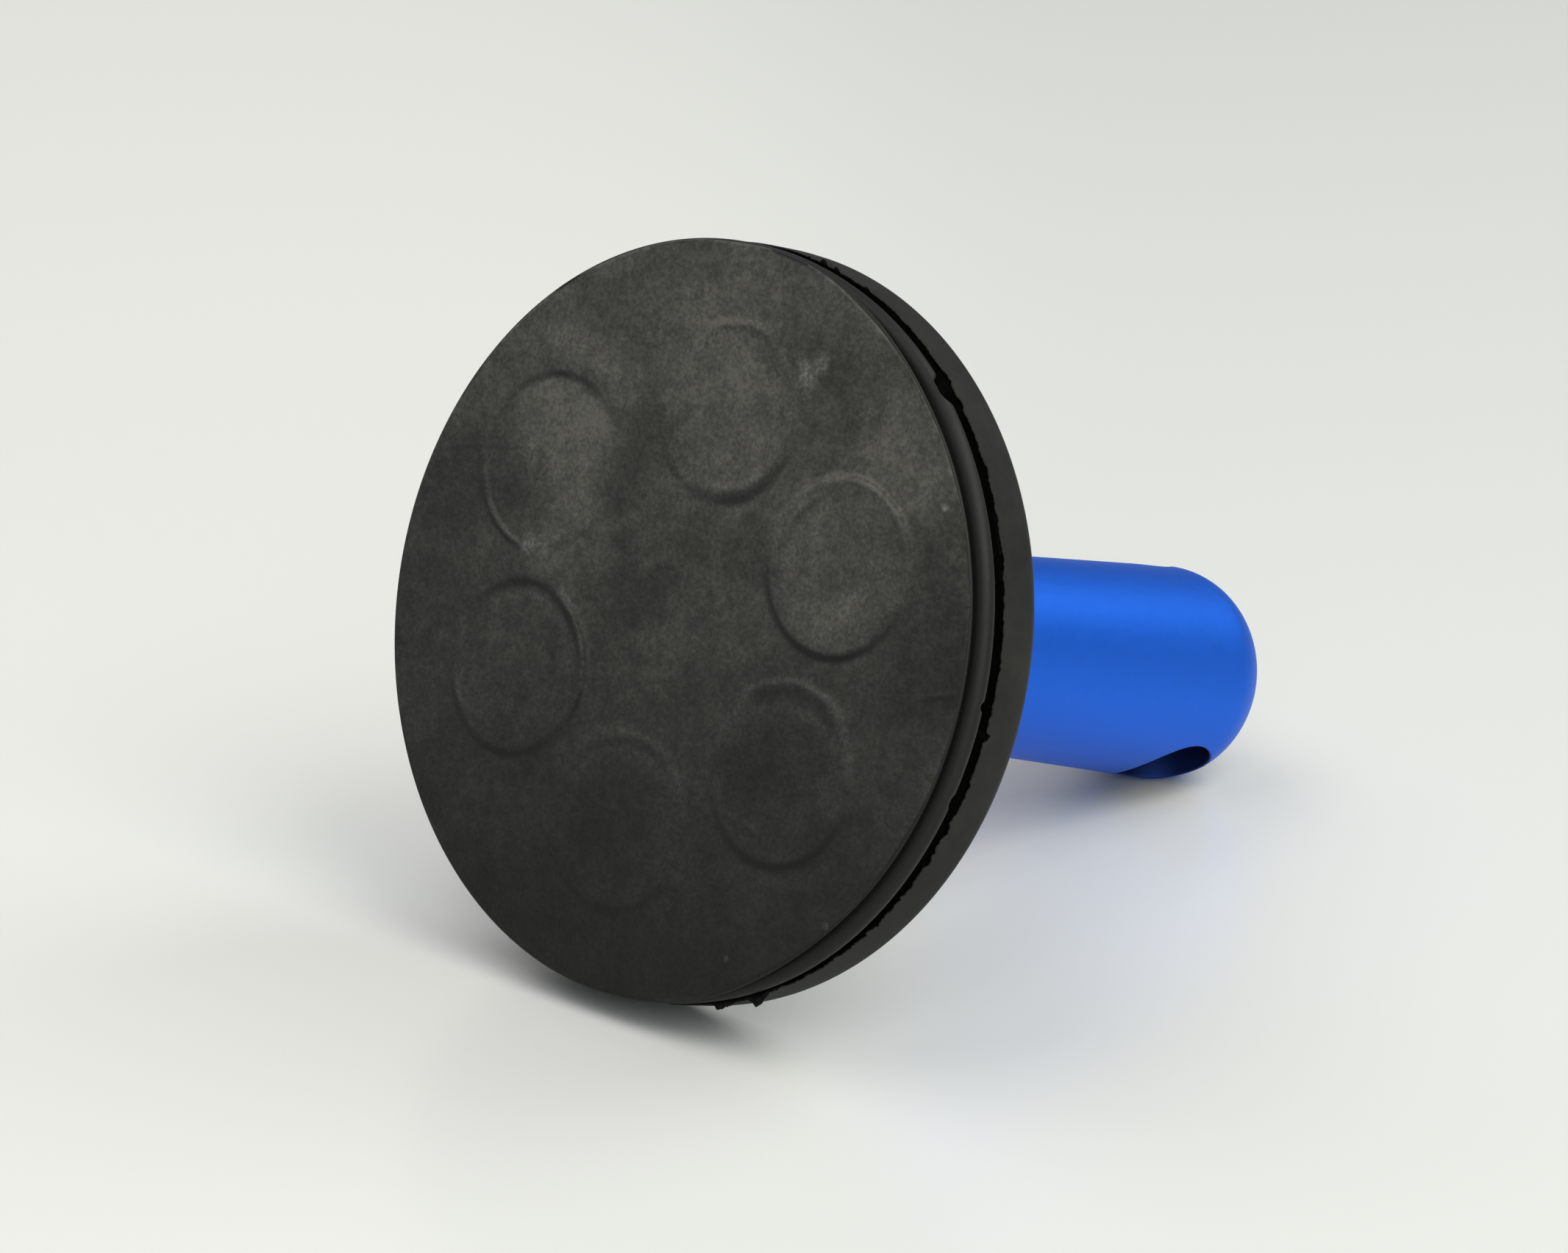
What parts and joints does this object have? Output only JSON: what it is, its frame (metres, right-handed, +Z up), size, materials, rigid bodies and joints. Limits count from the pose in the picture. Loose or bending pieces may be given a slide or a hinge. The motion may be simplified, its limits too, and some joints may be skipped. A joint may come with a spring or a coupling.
{
  "type": "rubber-coated hand magnet",
  "caption": "Flat rubber-coated disc magnet with a straight flared metal handle screwed into its back, for lifting, holding and moving steel or magnetic items by hand.",
  "frame": {"origin": "on the ground, under the middle of the whole object's box, as it lies on its side", "axes": "+Z up from the ground; +Y is the level direction from the rubber face towards the handle's free end; +X completes the right-handed frame. The object's own axis dips 19 degrees below +Y, because it rests on the disc's edge and on the handle's end"},
  "size_m": [0.0428, 0.0558, 0.0417],
  "materials": {
    "front_rubber": "black moulded rubber with a fine pimpled grain, a little dusty",
    "back_rubber": "smooth black moulded rubber",
    "plate_steel": "bare pressed steel plate",
    "magnet_nickel": "nickel-plated neodymium magnet",
    "bush_zinc": "zinc-plated turned steel",
    "stud_steel": "plain steel screw thread",
    "blue_anodised": "satin blue anodised aluminium, turned"
  },
  "bodies": {
    "magnet": {"front_rubber_cover": "front_rubber", "back_rubber_cover": "back_rubber", "steel_back_plate": "plate_steel", "disc_magnet_1": "magnet_nickel", "disc_magnet_2": "magnet_nickel", "disc_magnet_3": "magnet_nickel", "disc_magnet_4": "magnet_nickel", "disc_magnet_5": "magnet_nickel", "disc_magnet_6": "magnet_nickel", "threaded_bush": "bush_zinc"},
    "stud": {"threaded_stud": "stud_steel"},
    "handle": {"handle": "blue_anodised"}
  },
  "joints": [
    {"name": "handle_travel", "type": "slide", "parent": "magnet", "child": "stud", "axis": [0, 0.9456, -0.3255], "range_m": [0, 0.0042]},
    {"name": "handle_turn", "type": "hinge", "parent": "stud", "child": "handle", "pos_m": [0, -0.01488, 0.01953], "axis": [0, 0.9456, -0.3255], "range_deg": [0, 2160]}
  ],
  "couplings": [
    {"joint": "handle_travel", "follows": "handle_turn", "m_per_rad": 0.0001114}
  ]
}
